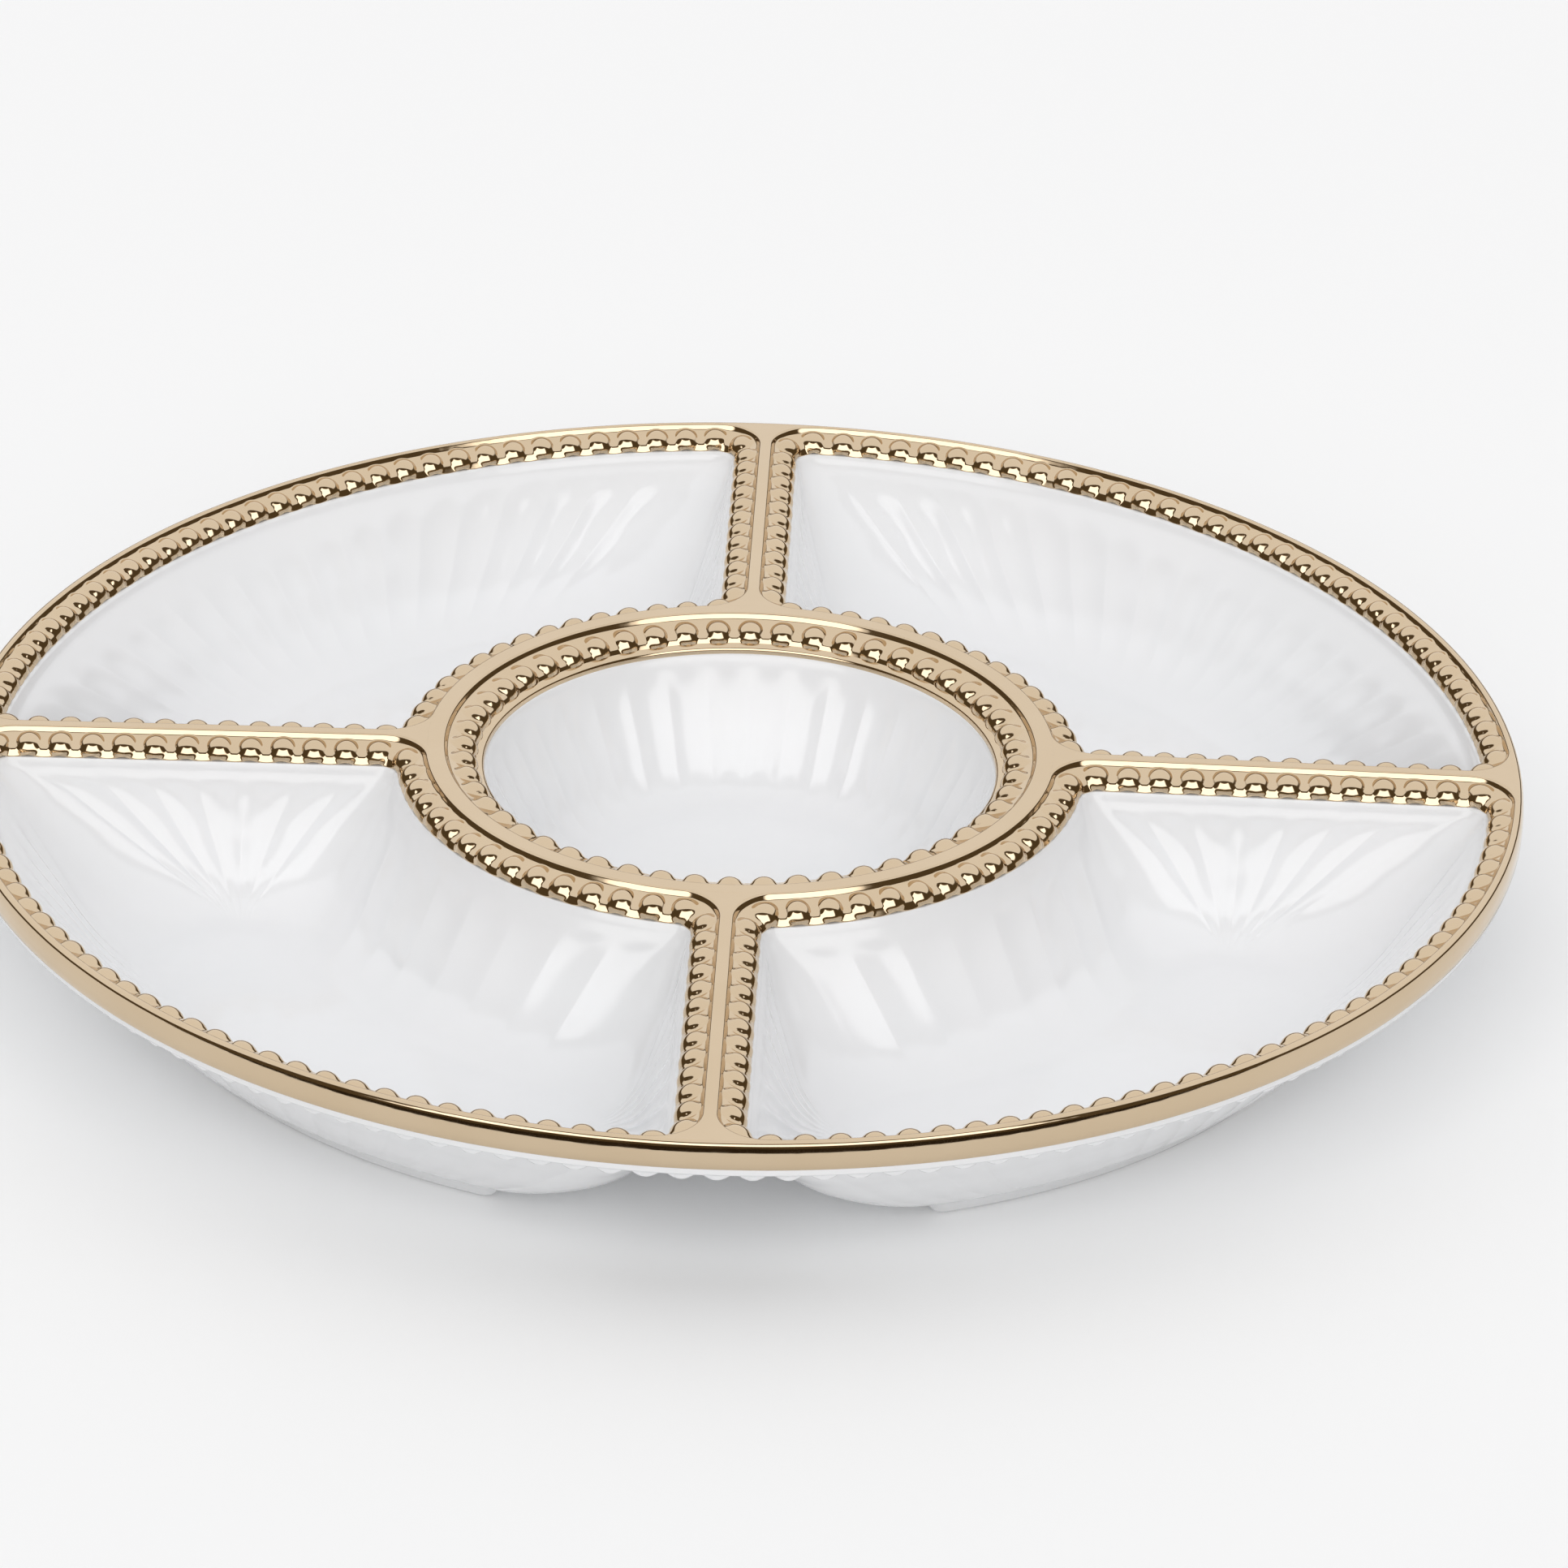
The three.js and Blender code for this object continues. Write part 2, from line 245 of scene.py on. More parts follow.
def make_piece(name, parts, material, nodes, sharp=math.radians(50)):
    """One piece from a list of (points, faces), standing for CAD nodes."""
    points, faces, start = [], [], 0
    for part_points, part_faces in parts:
        part_points = np.asarray(part_points, float).reshape(-1, 3)
        points.append(part_points)
        faces.extend([[start + i for i in face] for face in part_faces])
        start += len(part_points)
    points = crowned(np.concatenate(points)) / METRE
    mesh = bpy.data.meshes.new(name)
    mesh.from_pydata(points.tolist(), [], faces)
    mesh.shade_smooth()
    mesh.set_sharp_from_angle(angle=sharp)
    mesh.materials.append(material)
    piece = bpy.data.objects.new(name, mesh)
    bpy.context.scene.collection.objects.link(piece)
    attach(piece, "root")
    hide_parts(*nodes)
    return piece


def loop_part(rings):
    """A closed band: rings of points whose last one joins the first."""
    rows, columns = rings.shape[:2]
    return rings, grid_faces(rows, columns, closed_rows=True).tolist()


def bowl_part(rings):
    """A closed bowl: the first ring is capped below and the last one above."""
    rows, columns = rings.shape[:2]
    faces = grid_faces(rows, columns).tolist()
    faces.append(list(range(columns))[::-1])
    faces.append(list(range((rows - 1) * columns, rows * columns)))
    return rings, faces


def quarter_turned(rings, turns):
    """Points turned about Z by a number of quarter turns."""
    turn = Matrix.Rotation(turns * RIGHT, 3, "Z")
    return rings @ np.array(turn).T


def smooth_rows(keys, count):
    """Rows of numbers that pass smoothly through key rows, evenly spread along them."""
    keys = np.array(keys, float)
    depth_column = -2
    steps = np.hypot(np.diff(keys[:, 0]), np.diff(keys[:, depth_column]))
    at = np.concatenate([[0], np.cumsum(steps)])
    slopes = np.gradient(keys, at, axis=0)
    where = np.linspace(0, at[-1], count)
    i = np.clip(np.searchsorted(at, where, side="right") - 1, 0, len(at) - 2)
    span = (at[i + 1] - at[i])[:, None]
    s = (where - at[i])[:, None] / span
    return (
        (2 * s**3 - 3 * s**2 + 1) * keys[i]
        + (s**3 - 2 * s**2 + s) * span * slopes[i]
        + (3 * s**2 - 2 * s**3) * keys[i + 1]
        + (s**3 - s**2) * span * slopes[i + 1]
    )


# ---- The outline of one section, in the first quadrant ----


def outline_pieces(insets):
    """Eight pieces: outer arc, corner, side, corner, inner arc, corner, side, corner."""
    outer_inset, side_inset, inner_inset, corner = insets
    outer, inner = OUTER_BEADS - outer_inset, INNER_BEADS + inner_inset
    side = SIDE_BEADS + side_inset
    off = side + corner
    far = math.sqrt((outer - corner) ** 2 - off**2)
    near = math.sqrt((inner + corner) ** 2 - off**2)
    far_turn, near_turn = math.atan2(off, far), math.atan2(off, near)
    return [
        ("arc", 0, 0, outer, far_turn, RIGHT - far_turn),
        ("arc", off, far, corner, RIGHT - far_turn, 2 * RIGHT),
        ("line", side, far, side, near),
        ("arc", off, near, corner, 2 * RIGHT, 3 * RIGHT - near_turn),
        ("arc", 0, 0, inner, RIGHT - near_turn, near_turn),
        ("arc", near, off, corner, 2 * RIGHT + near_turn, 3 * RIGHT),
        ("line", near, side, far, side),
        ("arc", far, off, corner, 3 * RIGHT, 4 * RIGHT + far_turn),
    ]


def piece_length(piece):
    if piece[0] == "line":
        return math.hypot(piece[3] - piece[1], piece[4] - piece[2])
    return abs(piece[5] - piece[4]) * piece[3]


BEAD_PATH = (0, 0, 0, BEAD_CORNER)
PATH_LENGTHS = [piece_length(piece) for piece in outline_pieces(BEAD_PATH)]
PATH_LENGTH = sum(PATH_LENGTHS)


def places_on_path(count):
    """Evenly spaced places on the bead path: a piece of the outline and a share of it."""
    along = PATH_LENGTH * np.arange(count) / count
    ends = np.cumsum(PATH_LENGTHS)
    piece = np.minimum(np.searchsorted(ends, along, side="right"), 7)
    starts = ends - PATH_LENGTHS
    share = (along - starts[piece]) / np.array(PATH_LENGTHS)[piece]
    return piece, share


def outline_points(insets, places):
    """Points of an outline and unit directions that lead into the section, both flat."""
    which, share = places
    points = np.zeros((len(share), 2))
    inward = np.zeros((len(share), 2))
    for k, piece in enumerate(outline_pieces(insets)):
        on = which == k
        s = share[on][:, None]
        if piece[0] == "line":
            start, end = np.array(piece[1:3]), np.array(piece[3:5])
            points[on] = start + s * (end - start)
            run = (end - start) / np.linalg.norm(end - start)
            inward[on] = (-run[1], run[0])
        else:
            _, x, y, radius, first, last = piece
            turn = first + s[:, 0] * (last - first)
            out = np.stack([np.cos(turn), np.sin(turn)], 1)
            points[on] = (x, y) + radius * out
            inward[on] = -out if last > first else out
    return points, inward


def blended(s):
    return s * s * (3 - 2 * s)


def section_edges(places):
    """Inset of the crest's edge at each place: it changes smoothly around the corners."""
    which, share = places
    turn = blended(share)
    outer, side, inner = (CREST_EDGES[k] for k in ("outer", "side", "inner"))
    ends = [
        (outer, outer),
        (outer, side),
        (side, side),
        (side, inner),
        (inner, inner),
        (inner, side),
        (side, side),
        (side, outer),
    ]
    ends = np.array(ends)[which]
    return ends[:, 0] + turn * (ends[:, 1] - ends[:, 0])


# ---- Gilded borders ----

HALF = math.sqrt(0.5)


def to_slope(inward, height):
    """A point of the border's section as distance down a 45 degree slope, and off it."""
    down = SLOPE_START - height
    return (inward + down) * HALF, (inward - down) * HALF


def from_slope(along, off):
    return (along + off) * HALF, (off - along) * HALF + SLOPE_START


def soft_min(a, b, blend):
    near = np.clip(1 - np.abs(a - b) / blend, 0, None)
    return np.minimum(a, b) - near**2 * blend / 4


def soft_max(a, b, blend):
    return -soft_min(-a, -b, blend)


def line_through(start, end, along):
    """Height off the slope of the line through two points of the section."""
    (start_along, start_off), (end_along, end_off) = to_slope(*start), to_slope(*end)
    fall = (end_off - start_off) / (end_along - start_along)
    return start_off + fall * (along - start_along)


def border_base(along, edge):
    """The border without beads: crest, steep shoulder, gentle ledge and steep wall."""
    foot = (edge + SHOULDER[0], SHOULDER[1])
    crest = along - SLOPE_START / HALF
    shoulder = line_through((edge, 0), foot, along)
    ledge = line_through(foot, LEDGE_END, along)
    wall = line_through(LEDGE_END, BORDER_END, along)
    inner = soft_max(shoulder, soft_min(ledge, wall, LEDGE_FILLET), SHOULDER_FILLET)
    return soft_min(crest, inner, CREST_FILLET)


def bead_surface(across, along, size):
    """Height of a bead off the slope, carried on straight below its sides."""
    wide, long, high = (size * half for half in BEAD_SIZE)
    reach = np.hypot(across / wide, (along - BEAD_CENTRE[0]) / long)
    rise = np.sqrt(1 - np.minimum(reach, BEAD_LIMIT) ** 2)
    steepest = BEAD_LIMIT / math.sqrt(1 - BEAD_LIMIT**2)
    beyond = np.clip(reach - BEAD_LIMIT, 0, None)
    return BEAD_CENTRE[1] + high * (rise - steepest * beyond)


def border_rows(edge, beads, count, length, seed):
    """The border's section at each column, as rows of inward offset and height.

    The first row is tucked under the crest, and the last ones close the hidden back.
    """
    varied = np.random.default_rng(seed)
    sizes = 1 + varied.normal(0, BEAD_SIZE_SPREAD, beads)
    shifts = varied.normal(0, BEAD_PLACE_SPREAD, (2, beads))
    place = np.arange(count) * beads / count
    nearest = np.round(place).astype(int) % beads
    across = (place - np.round(place)) * length / beads - shifts[0][nearest]
    phase = 2 * np.pi * place
    seam_along, seam_off = to_slope(edge - CREST_SEAM, 0)
    end_along = to_slope(*BORDER_END)[0] - EDGE_WAVE * np.cos(phase)
    rows = [from_slope(seam_along + CREST_TUCK[0], seam_off + CREST_TUCK[1])]
    for share in np.linspace(0, 1, BORDER_ROWS):
        along = seam_along + share * (end_along - seam_along)
        base = border_base(along, edge)
        bead = bead_surface(across, along - shifts[1][nearest], sizes[nearest])
        off = soft_max(base, bead, BEAD_FILLET)
        rows.append(from_slope(along, off))
    starts = {"end": (end_along, off), "seam": (seam_along, seam_off)}
    for start, more_along, more_off in BORDER_BACK:
        from_along, from_off = starts[start]
        rows.append(from_slope(from_along + more_along, from_off + more_off))
    return rows


def section_border(seed):
    """The border of the section in the first quadrant, with its beads."""
    count = BEADS_PER_SECTION * STEPS_PER_BEAD
    places = places_on_path(count)
    points, inward = outline_points(BEAD_PATH, places)
    edge = section_edges(places)
    rings = []
    for offset, height in border_rows(edge, BEADS_PER_SECTION, count, PATH_LENGTH, seed):
        flat = points + offset[:, None] * inward
        rings.append(np.column_stack([flat, CREST + height]))
    return np.array(rings)


def dip_border():
    """The border around the dip bowl, with its beads."""
    count = BEADS_ON_DIP * STEPS_PER_BEAD
    turn = 2 * np.pi * np.arange(count) / count
    out = np.stack([np.cos(turn), np.sin(turn)], 1)
    edge = np.full(count, CREST_EDGES["dip"])
    length = 2 * np.pi * DIP_BEADS
    rings = []
    for offset, height in border_rows(edge, BEADS_ON_DIP, count, length, DIP_SEED):
        flat = (DIP_BEADS - offset)[:, None] * out
        rings.append(np.column_stack([flat, CREST + height]))
    return np.array(rings)


# ---- Crest plates ----


def divider_plate():
    """The crest of the +Y divider, between the borders of two sections."""
    which = np.repeat([1, 2, 3], DIVIDER_STEPS)  # far corner, side, near corner
    share = np.tile((np.arange(DIVIDER_STEPS) + 0.5) / DIVIDER_STEPS, 3)
    share[0], share[-1] = 0, 1
    places = (which, share)
    points, inward = outline_points(BEAD_PATH, places)
    right = points + (section_edges(places) - CREST_SEAM)[:, None] * inward
    left = right * (-1, 1)
    corners = [(right, 0), (left, 0), (left, PLATE_THICKNESS), (right, PLATE_THICKNESS)]
    bar = np.array(
        [
            np.column_stack([edge, np.full(len(edge), CREST - depth)])
            for edge, depth in corners
        ]
    )
    rows, columns = bar.shape[:2]
    faces = [
        [
            side * columns + i,
            side * columns + i + 1,
            after * columns + i + 1,
            after * columns + i,
        ]
        for side, after in ((0, 1), (1, 2), (2, 3), (3, 0))
        for i in range(columns - 1)
    ]
    points = bar.reshape(-1, 3)
    for end, rounded in ((0, FLARE_STEPS["rim"]), (columns - 1, FLARE_STEPS["ring"])):
        a, b = points[end], points[columns + end]
        arc = circle_between(a[:2], b[:2], rounded)[1:-1]
        start = len(points)
        top = np.column_stack([arc, np.full(len(arc), CREST)])
        points = np.concatenate([points, top, top - (0, 0, PLATE_THICKNESS)])
        upper = [end, *range(start, start + len(arc)), columns + end]
        lower = [3 * columns + end]
        lower += range(start + len(arc), start + 2 * len(arc))
        lower.append(2 * columns + end)
        outward = end == 0
        faces.append(upper if outward else upper[::-1])
        faces.append(lower[::-1] if outward else lower)
        for i in range(len(upper) - 1):
            wall = [upper[i], lower[i], lower[i + 1], upper[i + 1]]
            faces.append(wall if outward else wall[::-1])
    return points, faces


def circle_between(start, end, steps):
    """Points of a circle about the dish's centre, from start to end."""
    radius = np.linalg.norm(start)
    first, last = np.arctan2(start[1], start[0]), np.arctan2(end[1], end[0])
    turn = np.linspace(first, last, steps)
    return radius * np.stack([np.cos(turn), np.sin(turn)], 1)


# ---- Turned parts ----


def turned_rings(profile, steps=RIM_STEPS):
    """Rings of a profile, listed as radius and depth, spun about the Z axis."""
    turn = 2 * np.pi * np.arange(steps) / steps
    return np.array(
        [
            np.column_stack(
                [r * np.cos(turn), r * np.sin(turn), np.full(steps, CREST - depth)]
            )
            for r, depth in profile
        ]
    )


def rim_profile():
    """Flat crest, a tight corner, then an outer wall that bulges slightly."""
    inner = OUTER_BEADS - CREST_EDGES["outer"] + CREST_SEAM
    tight, wide, turned = RIM_CORNER, RIM_BULGE, RIM_BULGE_TURN
    reach = RIM_RADIUS - wide * (1 - math.cos(turned)) - tight * math.cos(turned)
    corner = [
        (reach + tight * math.cos(a), tight * (1 - math.sin(a)))
        for a in np.linspace(RIGHT, turned, 12)
    ]
    drop = tight * (1 - math.sin(turned)) + wide * math.sin(turned)
    bulge = [
        (RIM_RADIUS - wide * (1 - math.cos(a)), drop - wide * math.sin(a))
        for a in np.linspace(turned, 0, 10)[1:]
    ]
    return [
        (inner, PLATE_THICKNESS),
        (inner, 0),
        *corner,
        *bulge,
        (RIM_RADIUS, 4.5),
        (RIM_RADIUS - 0.05, RIM_WALL - 0.3),
        (RIM_RADIUS - 0.3, RIM_WALL),
        (RIM_RADIUS - 2.5, RIM_WALL),
    ]


def ring_profile():
    outer = INNER_BEADS + CREST_EDGES["inner"] - CREST_SEAM
    inner = DIP_BEADS - CREST_EDGES["dip"] + CREST_SEAM
    return [(inner, PLATE_THICKNESS), (inner, 0), (outer, 0), (outer, PLATE_THICKNESS)]


def lobed_moulding():
    """A plain band under the gilded wall, with a row of round lobes hanging from it."""
    count = LOBES * STEPS_PER_LOBE
    turn = 2 * np.pi * np.arange(count) / count
    lobe = np.abs(np.sin(LOBES * turn / 2)) ** LOBE_ROUNDNESS
    rows = [
        (RIM_RADIUS - 3.5, RIM_WALL - 1.2),
        (BAND_RADIUS, RIM_WALL - 0.2),
        (BAND_RADIUS, BAND_BOTTOM - 0.5),
        (BAND_RADIUS - 0.25, BAND_BOTTOM - 0.1),
        (BAND_RADIUS - 0.9, BAND_BOTTOM + 0.05),
    ]
    for share in np.linspace(0, 1, LOBE_ROWS):
        bulge = math.sin(math.pi * (LOBE_ARC[0] + LOBE_ARC[1] * share))
        inset = LOBE_INSET[0] + LOBE_INSET[1] * share
        radius = BAND_RADIUS - inset + (LOBE_BULGE[0] + LOBE_BULGE[1] * lobe) * bulge
        drop = LOBE_DROP[0] + LOBE_DROP[1] * lobe
        rows.append((radius, BAND_BOTTOM + 0.1 + share * drop))
    rows.append((BAND_RADIUS - 4.6, BAND_BOTTOM + 0.8 + 1.5 * lobe))
    rows.append((BAND_RADIUS - 5.6, BAND_BOTTOM))
    rings = []
    for radius, depth in rows:
        radius = np.broadcast_to(radius, turn.shape)
        depth = np.broadcast_to(depth, turn.shape)
        flat = [radius * np.cos(turn), radius * np.sin(turn), CREST - depth]
        rings.append(np.stack(flat, 1))
    return np.array(rings)[::-1]


# ---- Bowls ----


def flute_hollow(count, flutes):
    """Depth of the flutes at each column: hollows between narrow ridges."""
    turn = np.pi * flutes * np.arange(count) / count
    return FLUTE_DEPTH * np.abs(np.sin(turn)) ** FLUTE_SHARPNESS


def section_bowl():
    count = FLUTES_PER_SECTION * STEPS_PER_FLUTE
    places = places_on_path(count)
    hollow = flute_hollow(count, FLUTES_PER_SECTION)
    outside = smooth_rows(OUTER_WALL, SECTION_ROWS["outside"])
    inside = smooth_rows(INNER_WALL, SECTION_ROWS["inside"])
    rings = []
    for *insets, depth, share in [*outside, *inside]:
        points, inward = outline_points(insets, places)
        flat = points - (share * hollow)[:, None] * inward
        rings.append(np.column_stack([flat, np.full(count, CREST - depth)]))
    return np.array(rings)


def dip_bowl():
    count = FLUTES_IN_DIP * STEPS_PER_FLUTE
    turn = 2 * np.pi * np.arange(count) / count
    hollow = flute_hollow(count, FLUTES_IN_DIP)
    outside = smooth_rows(DIP_OUTER_WALL, DIP_ROWS["outside"])
    inside = smooth_rows(DIP_INNER_WALL, DIP_ROWS["inside"])
    rings = []
    for r, depth, share in [*outside, *inside]:
        r = r + share * hollow
        flat = [r * np.cos(turn), r * np.sin(turn), np.full(count, CREST - depth)]
        rings.append(np.stack(flat, 1))
    return np.array(rings)


# ---- Feet ----


def foot_part():
    """An arc-shaped foot under the middle of the section in the first quadrant."""
    ends = FOOT_END * np.array(FOOT_END_AT)
    rise = np.array(FOOT_END_RISE)
    straight = FOOT_HALF_SPAN - FOOT_END
    middle = np.linspace(-straight, straight, FOOT_STEPS)
    turns = [*(-FOOT_HALF_SPAN + ends[:-1]), *middle, *(FOOT_HALF_SPAN - ends[:-1][::-1])]
    lifts = [*rise[:-1], *np.zeros(FOOT_STEPS), *rise[:-1][::-1]]
    profile = np.array(FOOT_PROFILE)
    rings = []
    for turn, lift in zip(turns, lifts):
        r = profile[:, 0] + lift * (FOOT_MIDDLE - profile[:, 0]) / FOOT_TAPER
        depth = profile[:, 1] - lift * (profile[:, 1] - FOOT_TOP)
        a = math.pi / 4 + turn
        rings.append(np.column_stack([r * math.cos(a), r * math.sin(a), CREST - depth]))
    rings = np.array(rings)
    return bowl_part(rings[::-1])


# ---- Materials ----


def new_material(name):
    material = bpy.data.materials.new(name)
    material.use_nodes = True
    nodes = material.node_tree.nodes
    return material, nodes, material.node_tree.links, nodes["Principled BSDF"]


def noise(nodes, links, scale, detail=3.0):
    """Noise in the object's own place, scale in repeats per metre."""
    where = nodes.new("ShaderNodeTexCoord")
    texture = nodes.new("ShaderNodeTexNoise")
    texture.inputs["Scale"].default_value = scale
    texture.inputs["Detail"].default_value = detail
    links.new(where.outputs["Object"], texture.inputs["Vector"])
    return texture.outputs["Fac"]


def ranged(nodes, links, value, low, high, to_low, to_high):
    """value mapped from low..high to to_low..to_high, held at the ends."""
    node = nodes.new("ShaderNodeMapRange")
    for socket, number in zip(
        ("From Min", "From Max", "To Min", "To Max"), (low, high, to_low, to_high)
    ):
        node.inputs[socket].default_value = number
    links.new(value, node.inputs["Value"])
    return node.outputs["Result"]


def mixed_colour(nodes, links, factor, first, second):
    """first where factor is 0 and second where it is 1. Each is a colour or an output."""
    node = nodes.new("ShaderNodeMix")
    node.data_type = "RGBA"
    for socket, colour in zip((s for s in node.inputs if s.type == "RGBA"), (first, second)):
        if isinstance(colour, tuple):
            socket.default_value = (*colour, 1)
        else:
            links.new(colour, socket)
    links.new(factor, node.inputs["Factor"])
    return [s for s in node.outputs if s.type == "RGBA"][0]


def bumped(nodes, links, height, distance, shader):
    node = nodes.new("ShaderNodeBump")
    node.inputs["Strength"].default_value = 1.0
    node.inputs["Distance"].default_value = distance
    links.new(height, node.inputs["Height"])
    links.new(node.outputs["Normal"], shader.inputs["Normal"])


# Colours and roughness vary between two values, and the bumps are in metres. Each has
# noise of its own, in repeats per metre.
GILDING_TONES = ((0.63, 0.495, 0.335), (0.65, 0.515, 0.355))
GILDING_HAZE = (0.07, 0.11)
GILDING_BUMP = 0.00012
GILDING_NOISE = {"tone": 35, "haze": 160, "bump": 110}
GLAZE_TONES = ((0.835, 0.85, 0.87), (0.85, 0.86, 0.88))
GLAZE_HAZE = (0.1, 0.16)
GLAZE_BUMP = 0.0002
GLAZE_NOISE = {"tone": 22, "haze": 60, "bump": 70}
BUMP_DETAIL = 2
TONE_RANGE = (0.35, 0.65)  # noise between these values spans the two colours


def gilded_material():
    material, nodes, links, shader = new_material("gilding")
    shader.inputs["Metallic"].default_value = 1.0
    tone = ranged(nodes, links, noise(nodes, links, GILDING_NOISE["tone"]), *TONE_RANGE, 0, 1)
    colour = mixed_colour(nodes, links, tone, *GILDING_TONES)
    links.new(colour, shader.inputs["Base Color"])
    cloud = noise(nodes, links, GILDING_NOISE["haze"])
    haze = ranged(nodes, links, cloud, 0.4, 0.75, *GILDING_HAZE)
    links.new(haze, shader.inputs["Roughness"])
    ripple = noise(nodes, links, GILDING_NOISE["bump"], BUMP_DETAIL)
    bumped(nodes, links, ripple, GILDING_BUMP, shader)
    return material


def porcelain_material():
    material, nodes, links, shader = new_material("porcelain")
    tone = ranged(nodes, links, noise(nodes, links, GLAZE_NOISE["tone"]), *TONE_RANGE, 0, 1)
    glazed = mixed_colour(nodes, links, tone, *GLAZE_TONES)
    links.new(glazed, shader.inputs["Base Color"])
    cloud = noise(nodes, links, GLAZE_NOISE["haze"])
    glaze = ranged(nodes, links, cloud, 0.4, 0.7, *GLAZE_HAZE)
    links.new(glaze, shader.inputs["Roughness"])
    ripple = noise(nodes, links, GLAZE_NOISE["bump"], BUMP_DETAIL)
    bumped(nodes, links, ripple, GLAZE_BUMP, shader)
    return material


gilding = gilded_material()
porcelain = porcelain_material()

# ---- Pieces ----

SECTIONS = {"back_right": 0, "back_left": 1, "front_left": 2, "front_right": 3}
DIVIDERS = {"back": 0, "left": 1, "front": 2, "right": 3}

make_piece(
    "rim", [loop_part(turned_rings(rim_profile())[::-1])], gilding, ["outer_rim"],
    sharp=math.radians(40),
)
make_piece(
    "ring_crest", [loop_part(turned_rings(ring_profile())[::-1])], gilding,
    ["centre_ring"],
)
make_piece(
    "lip", [loop_part(turned_rings(LIP_PROFILE))], gilding, ["dip_lip"],
)
make_piece(
    "moulding", [loop_part(lobed_moulding())], porcelain,
    ["under_rim_moulding"],
)
make_piece(
    "dip_border", [loop_part(dip_border()[::-1])], gilding, ["dip_bead_ring"],
)
make_piece("dip", [bowl_part(dip_bowl())], porcelain, ["dip_bowl"])

bowl_rings = section_bowl()
foot_points, foot_faces = foot_part()
for place, turns in SECTIONS.items():
    border = loop_part(quarter_turned(section_border(SECTION_SEED + turns), turns)[::-1])
    make_piece(
        f"border_{place}", [border], gilding, [f"section_beads_{place}"]
    )
    bowl = bowl_part(quarter_turned(bowl_rings, turns))
    make_piece(f"bowl_{place}", [bowl], porcelain, [f"section_bowl_{place}"])
    foot = (quarter_turned(foot_points, turns), foot_faces)
    make_piece(f"base_{place}", [foot], porcelain, [f"foot_{place}"])

divider_points, divider_faces = divider_plate()
for place, turns in DIVIDERS.items():
    plate = (quarter_turned(divider_points, turns), divider_faces)
    make_piece(f"crest_{place}", [plate], gilding, [f"divider_{place}"])

# ---- Floor and light ----

FLOOR_REACH = 4.0
FLOOR_COLOUR = (0.88, 0.89, 0.9)
FLOOR_GLOW = 0.07  # a slight even glow keeps the floor near white
CARD_EDGE = -0.33  # the card lies on the floor from here toward the front
CARD_COLOUR = (0.03, 0.02, 0.01)


def add_sheet(name, front, back, height, colour, glow):
    """A plain level sheet of the stage, from front to back on Y."""
    side = FLOOR_REACH
    mesh = bpy.data.meshes.new(name)
    points = [
        (-side, front, height),
        (side, front, height),
        (side, back, height),
        (-side, back, height),
    ]
    mesh.from_pydata(points, [], [(0, 1, 2, 3)])
    material, _, _, shader = new_material(name)
    shader.inputs["Base Color"].default_value = (*colour, 1)
    shader.inputs["Roughness"].default_value = 1.0
    shader.inputs["Specular IOR Level"].default_value = 0.0
    shader.inputs["Emission Color"].default_value = (1, 1, 1, 1)
    shader.inputs["Emission Strength"].default_value = glow
    mesh.materials.append(material)
    sheet = bpy.data.objects.new(name, mesh)
    bpy.context.scene.collection.objects.link(sheet)
    return sheet


def add_floor():
    """A plain floor, and a dark card in front that shows only in the gilding and glaze."""
    add_sheet("floor", -FLOOR_REACH, FLOOR_REACH, -0.0001, FLOOR_COLOUR, FLOOR_GLOW)
    card = add_sheet("card", -FLOOR_REACH, CARD_EDGE, 0.0002, CARD_COLOUR, 0.0)
    card.visible_camera = False
    card.visible_diffuse = False
    card.visible_shadow = False
    card.visible_transmission = False


# The studio as reflected in the dish: pale behind it and overhead, dark toward the front,
# where a bright window hangs. Pictures show the plain backdrop in its place. The dark's
# top edge is a height over the horizon, as a share of a unit direction: it starts at
# DARK_LEVEL straight to the sides, climbs toward the front and sinks behind the dish.
# Window angles are degrees: up from the horizon, and to each side of the front.
PALE = (1.05, 1.05, 1.06)
BACKDROP = (0.94, 0.94, 0.94)
DARK = (0.1, 0.07, 0.035)
DARK_LEVEL = (0.46, 0.53)
DARK_CLIMB = 1.25
DARK_SINK = 0.32
WINDOW_LOW = (12, 16)
WINDOW_TOP = (49, 52)
WINDOW_SIDE = (43, 50)
WINDOW_LIGHT = 2.25


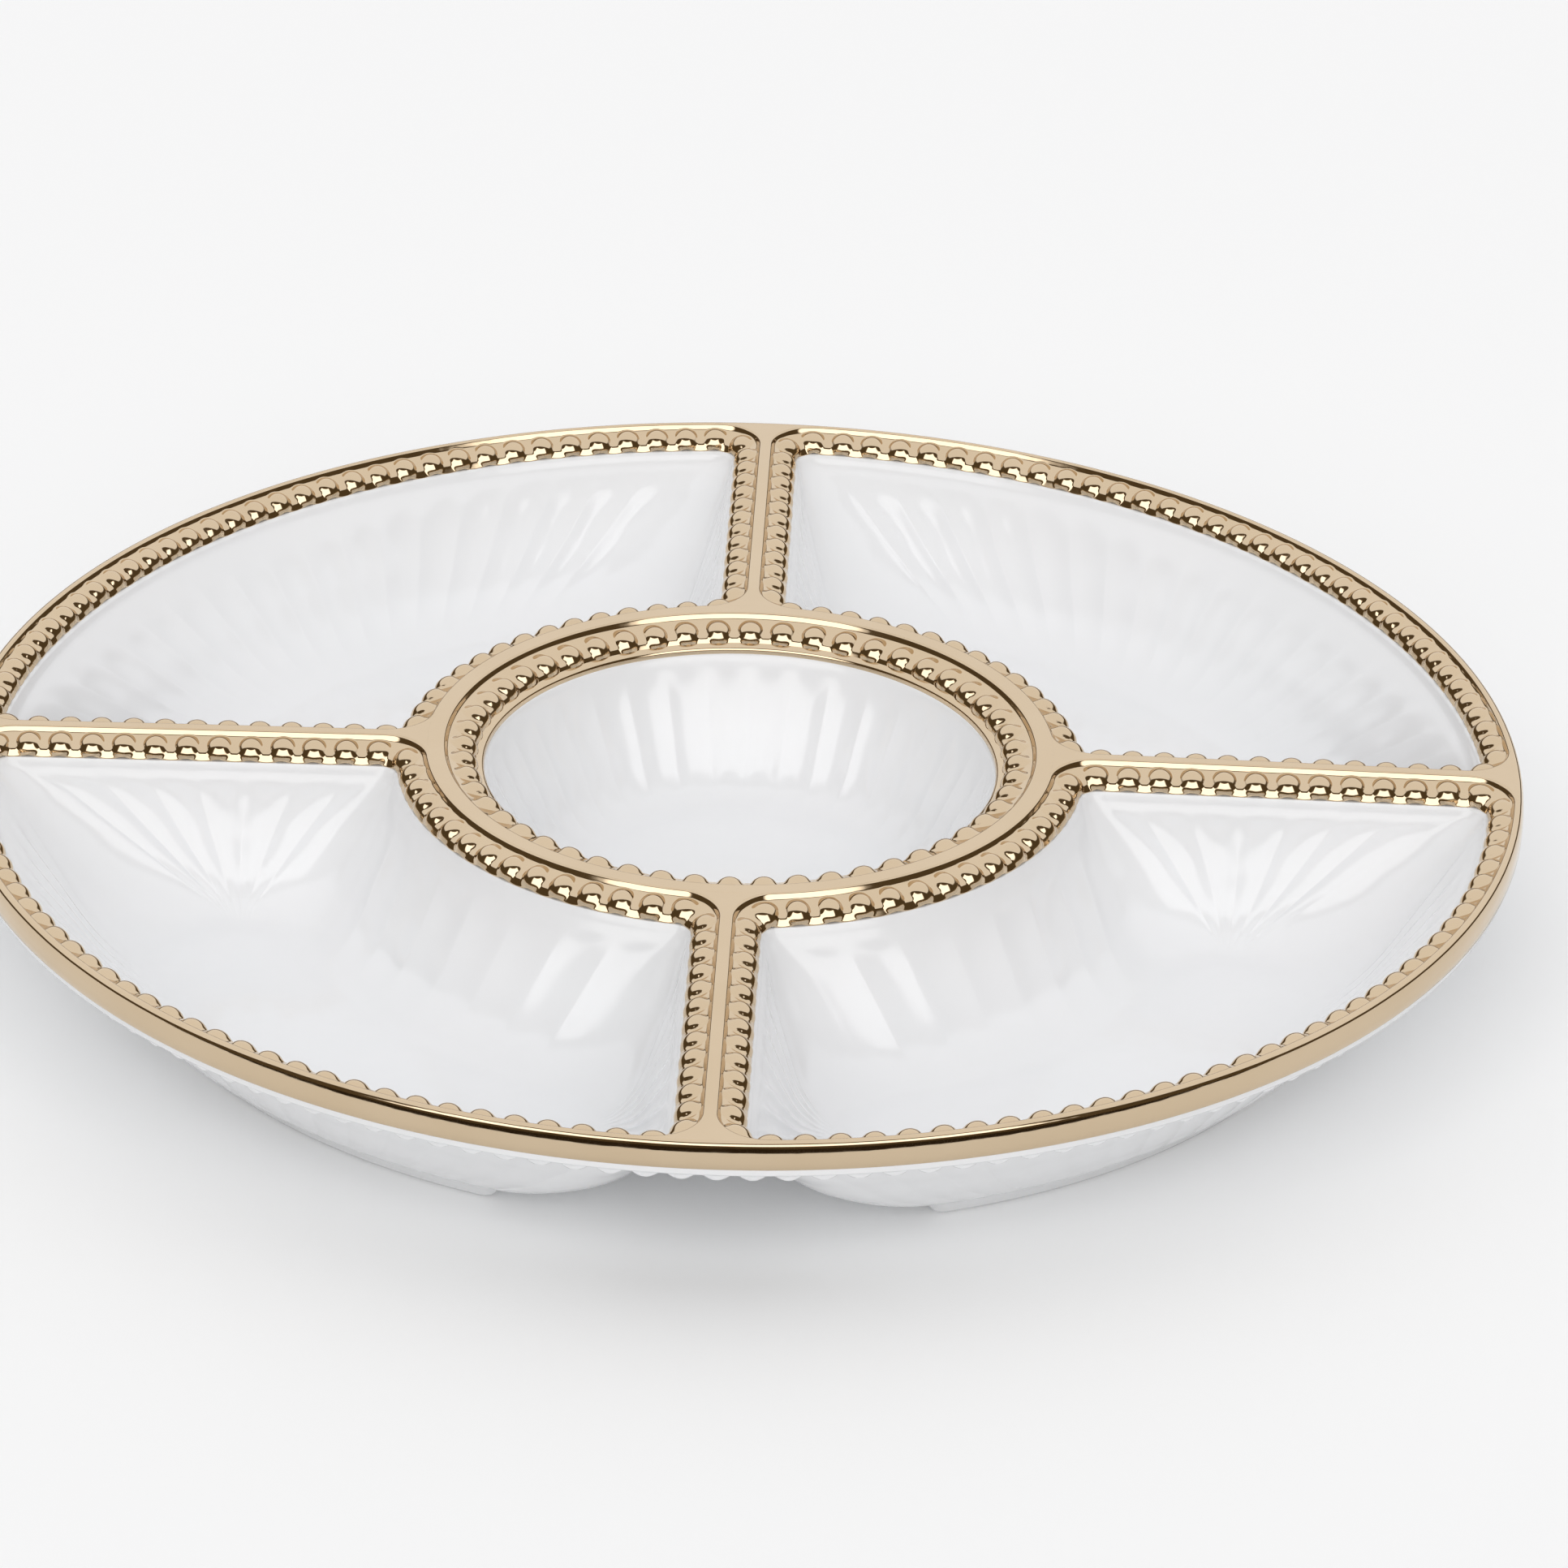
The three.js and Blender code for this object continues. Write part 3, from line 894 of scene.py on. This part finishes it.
def add_studio():
    world = bpy.data.worlds.new("studio")
    bpy.context.scene.world = world
    world.use_nodes = True
    nodes, links = world.node_tree.nodes, world.node_tree.links

    def maths(operation, *values):
        node = nodes.new("ShaderNodeMath")
        node.operation = operation
        for socket, value in zip(node.inputs, values):
            if isinstance(value, (int, float)):
                socket.default_value = value
            else:
                links.new(value, socket)
        return node.outputs[0]

    where = nodes.new("ShaderNodeTexCoord")
    split = nodes.new("ShaderNodeSeparateXYZ")
    links.new(where.outputs["Generated"], split.inputs[0])
    x, y, z = split.outputs
    up = maths("DEGREES", maths("ARCSINE", z))
    forward = maths("MULTIPLY", y, -1.0)
    aside = maths("DEGREES", maths("ARCTAN2", maths("ABSOLUTE", x), forward))

    def below(value, edge):
        return ranged(nodes, links, value, *edge, 1, 0)

    def above(value, edge):
        return ranged(nodes, links, value, *edge, 0, 1)

    slant = maths(
        "MAXIMUM",
        maths("MULTIPLY", forward, DARK_CLIMB),
        maths("MULTIPLY", forward, DARK_SINK),
    )
    dark = below(maths("SUBTRACT", z, slant), DARK_LEVEL)
    window = maths("MULTIPLY", below(up, WINDOW_TOP), above(up, WINDOW_LOW))
    window = maths("MULTIPLY", window, below(aside, WINDOW_SIDE))
    room = mixed_colour(nodes, links, dark, PALE, DARK)
    lit = mixed_colour(nodes, links, window, (0, 0, 0), (WINDOW_LIGHT,) * 3)
    total = nodes.new("ShaderNodeVectorMath")
    links.new(room, total.inputs[0])
    links.new(lit, total.inputs[1])
    direct = nodes.new("ShaderNodeLightPath").outputs["Is Camera Ray"]
    seen = mixed_colour(nodes, links, direct, total.outputs[0], BACKDROP)
    background = nodes["Background"]
    links.new(seen, background.inputs["Color"])
    background.inputs["Strength"].default_value = 1.0


# ---- Camera ----

CAMERA_PLACE = Vector((0.04133, -1.48990, 0.81109))
CAMERA_AIM = Vector((0.01059, -0.01698, 0.04200))
CAMERA_ROLL = math.radians(1.455)
CAMERA_LENS = 167.34


def add_camera():
    data = bpy.data.cameras.new("camera")
    data.lens = CAMERA_LENS
    data.sensor_width = 36
    data.clip_end = 50
    camera = bpy.data.objects.new("camera", data)
    facing = (CAMERA_AIM - CAMERA_PLACE).to_track_quat("-Z", "Y").to_matrix().to_4x4()
    roll = Matrix.Rotation(CAMERA_ROLL, 4, "Z")
    camera.matrix_world = Matrix.Translation(CAMERA_PLACE) @ facing @ roll
    bpy.context.scene.collection.objects.link(camera)
    bpy.context.scene.camera = camera


add_floor()
add_studio()
add_camera()
bpy.context.scene.view_settings.view_transform = "Standard"
